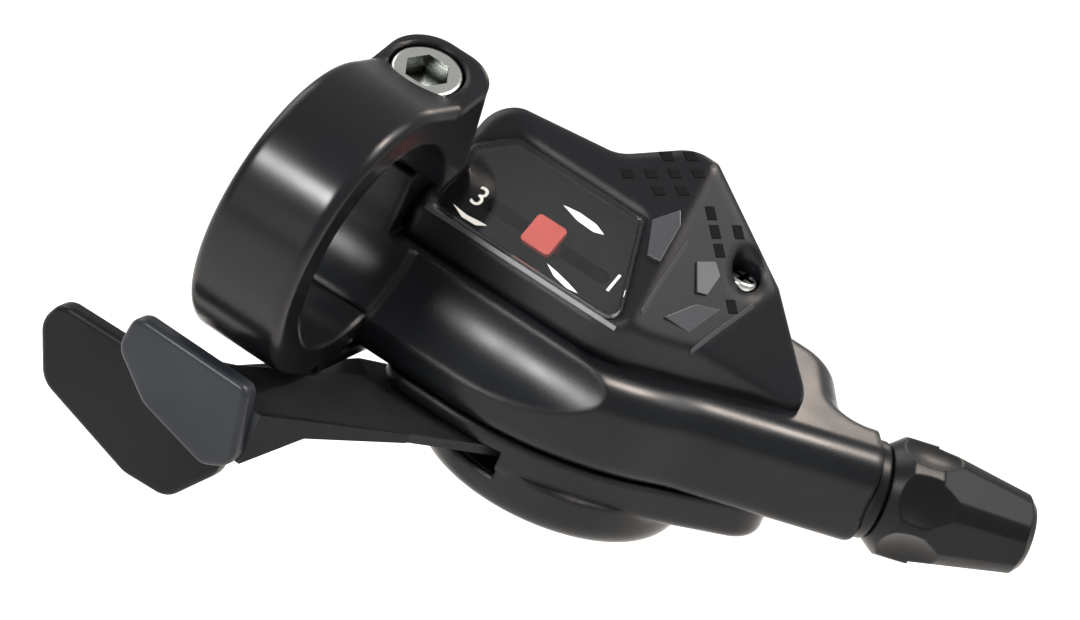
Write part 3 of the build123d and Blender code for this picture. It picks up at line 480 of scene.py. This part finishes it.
print("ridge at the near edge, in mm:", round(ridge_x(COVER_NEAR), 1))

# %% Squares
SQUARE_HALF, SQUARE_TAPER = 0.56, 0.8
SQUARE_FOOT, SQUARE_TOP = -0.05, 0.08
STEPS = range(-8, 9)
# On the dial's side and on the pad: one square's place, then the two steps to its neighbours.
LATTICES = (
    ((22.3, 24.5), (1.80, 0.97), (1.67, -0.79)),
    ((24.3, 25.6), (1.45, 1.95), (1.30, -0.42)),
)


def square_ring(centre, sides, half, height):
    """Four corners of a square on the cover, with its sides along two directions."""
    corners = [centre + (sides[0] * u + sides[1] * v) * half for u, v in ((-1, -1), (-1, 1), (1, 1), (1, -1))]
    return [on_cover(*corner, height) for corner in corners]


points, faces, squares = [], [], 0
for on_pad, lattice in enumerate(LATTICES):
    start, across, down = (Vector(v) for v in lattice)
    sides = across.normalized(), down.normalized()
    centres = [start + across * i + down * j for i in STEPS for j in STEPS]
    for centre in (place for place in centres if carries_square(*place, on_pad)):
        foot = square_ring(centre, sides, SQUARE_HALF, SQUARE_FOOT)
        top = square_ring(centre, sides, SQUARE_HALF * SQUARE_TAPER, SQUARE_TOP)
        block_points, block_faces = loft([foot, top])
        faces += [tuple(corner + len(points) for corner in face) for face in block_faces]
        points += block_points
        squares += 1
solid_piece("pad_grip_squares", points, faces, pit_nylon)
print("grip squares:", squares)

# %% [markdown]
# ## The faceted relief
# Between the window and the pad the cover is cut into a few facets. Each one tilts its own way, so that it
# mirrors another part of the room than the cover round it, and ends in one step. Their colour is lighter than the
# cover's, a painted highlight. A facet is an outline on the cover that rises from one side to the other, and a fine
# bevel rounds its edges as a moulding's.

# %% Relief
RELIEF_FOOT, RELIEF_LEAST, RELIEF_EDGE = -0.05, 0.02, 0.05
# Each facet: its outline seen from above, the direction in which it rises, and by how much.
RELIEF = {
    "ridge": ([(21.9, 21.4), (23.8, 18.9), (25.2, 19.0), (24.4, 22.2), (23.4, 23.2)], (0.3, -1.0), 0.40),
    "middle": ([(27.4, 21.9), (29.1, 20.6), (29.9, 21.4), (29.7, 23.4), (28.6, 23.6)], (-0.3, -1.0), 0.32),
    "low": ([(28.5, 16.9), (30.9, 18.4), (31.6, 22.0), (29.7, 20.0)], (-1.0, 0.4), 0.26),
}
for name, (outline, rising, rise) in RELIEF.items():
    along = [Vector(corner).dot(Vector(rising)) for corner in outline]
    shares = [(value - min(along)) / (max(along) - min(along)) for value in along]
    foot = [on_cover(x, y, RELIEF_FOOT) for x, y in outline]
    top = [on_cover(x, y, RELIEF_LEAST + rise * share) for (x, y), share in zip(outline, shares)]
    solid_piece("relief_" + name, *loft([foot, top]), highlight_painted_nylon, RELIEF_EDGE)
print("relief facets:", len(RELIEF))

# %% [markdown]
# ## The lip under the window
# A strip runs along the near edge of the window, like the bevel of a watch glass. It is flat and leans further
# forward than the dial, and its colour, lighter than the cover's, is a painted highlight that makes it one lighter
# line. A finer step follows the ridge, and another one parts the pad from the skirt below it, both with the same
# painted highlight. Each is a bar with a flat face, lofted through sections that are given at a few places.

# %% Lips
LIP_EDGE = 0.06
LIP_LEAN, LIP_WIDTH, LIP_DEPTH = math.radians(62), 0.55, 0.3
LIP_ALONG, LIP_HEIGHT = 0.5, 0.15
STEP_HEIGHT, STEP_FOOT = 0.16, -0.1
STEPS_ON_COVER = {
    "ridge_lip": (0.45, [(26.7, 15.2), (26.1, 18.5), (25.6, 22.0)]),
    "pad_lip": (0.35, [(31.9, 17.8), (32.5, 21.4), (33.2, 25.0)]),
}


def lip_section(x):
    """Four corners of the window's lip at a place along the bar: its face, then its back in the cover."""
    top = on_dial(x, LIP_ALONG, LIP_HEIGHT)
    bottom = top + Vector((0, -math.cos(LIP_LEAN), -math.sin(LIP_LEAN))) * LIP_WIDTH * MM
    return [top, bottom, bottom + Vector((0, LIP_DEPTH, 0)) * MM, on_dial(x, LIP_ALONG, -LIP_DEPTH)]


def step_section(x, y, width):
    """Four corners of a low step on the cover, whose face slopes down along the bar."""
    return [on_cover(x, y, STEP_HEIGHT), on_cover(x + width, y, 0.0),
            on_cover(x + width, y, STEP_FOOT), on_cover(x, y, STEP_FOOT)]


solid_piece("window_lip", *loft([lip_section(x) for x in (3.6, 26.0)]), highlight_painted_nylon, LIP_EDGE)
for name, (width, places) in STEPS_ON_COVER.items():
    solid_piece(name, *loft([step_section(x, y, width) for x, y in places]), highlight_painted_nylon, LIP_EDGE)
print("lips:", 1 + len(STEPS_ON_COVER))

# %% [markdown]
# ## Floor
# A catalogue picture shows the part on plain white. The floor lies well below the part, so that the soft shadow
# falls outside the picture, and the standard view keeps the white floor white.

# %% Floor and view
FLOOR_DROP, FLOOR_HALF = 0.040, 6.0
WORLD_STRENGTH = 0.44
level = cad_box[0][2] - FLOOR_DROP
floor_corners = [(u * FLOOR_HALF, v * FLOOR_HALF, level) for u, v in ((-1, -1), (1, -1), (1, 1), (-1, 1))]
floor_mesh = bpy.data.meshes.new("floor")
floor_mesh.from_pydata(floor_corners, [], [(0, 1, 2, 3)])
# Rolled matt paint: pale, with no reflection to draw the eye from the part.
floor_mesh.materials.append(moulded("pale_painted_floor", "#f6f6f5", "#fafaf9", 0.8, 2.0, 0.01))
floor = bpy.data.objects.new("floor", floor_mesh)
bpy.context.scene.collection.objects.link(floor)

world = bpy.data.worlds.new("studio")
world.use_nodes = True
background = world.node_tree.nodes["Background"]
background.inputs["Color"].default_value = linear("#ffffff")
background.inputs["Strength"].default_value = WORLD_STRENGTH
bpy.context.scene.world = world
bpy.context.scene.view_settings.view_transform = "Standard"
print("floor level in mm:", round(level / MM, 1))

# %% [markdown]
# ## Light
# Black plastic shows the room more than its own colour, so the light is built for its reflections. Each small panel
# stands where one surface mirrors it into the camera: overhead for the rounded edge of the shoulder, low behind the
# part for the level top of the nose, and high at the rider's side for the lip and the strap. A large panel overhead
# and another at the left whiten the floor, and a weak one from the rider's side opens the paddles.

# %% Panels
def panel(name, aim, offset, size, power, colour="#ffffff"):
    """A soft light panel at an offset in metres from the point that it is turned towards."""
    light = bpy.data.lights.new(name, "AREA")
    light.shape = "RECTANGLE"
    light.size, light.size_y = size
    light.energy = power
    light.color = linear(colour)[:3]
    lamp = bpy.data.objects.new(name, light)
    lamp.location = aim + offset
    lamp.rotation_euler = (-offset).to_track_quat("-Z", "Y").to_euler()
    bpy.context.scene.collection.objects.link(lamp)


WARM = "#fff0e4"
middle = Vector((0.025, 0.015, -0.004))
shoulder_edge = Vector((0.042, 0.012, -0.004))
nose_top = Vector((0.050, 0.022, -0.004))
mirrored_by_level = Vector((-to_camera.x, -to_camera.y, to_camera.z))

panel("shoulder_panel", shoulder_edge, Vector((0.20, 0.15, 0.97)) * 0.5, (0.10, 0.10), 2.0, WARM)
panel("nose_panel", nose_top, mirrored_by_level * 0.2, (0.04, 0.03), 0.03, WARM)
panel("lip_panel", middle, Vector((-0.30, -0.76, 0.59)) * 0.4, (0.10, 0.06), 0.8)
panel("top_panel", middle, Vector((0.35, 0.25, 0.75)), (0.6, 0.5), 3.2)
panel("left_panel", middle, Vector((-0.65, 0.15, 0.45)), (0.5, 0.5), 2.4)
panel("rider_panel", middle, Vector((-0.15, -0.80, 0.10)), (0.5, 0.25), 0.4)
print("light panels:", len(bpy.data.lights))
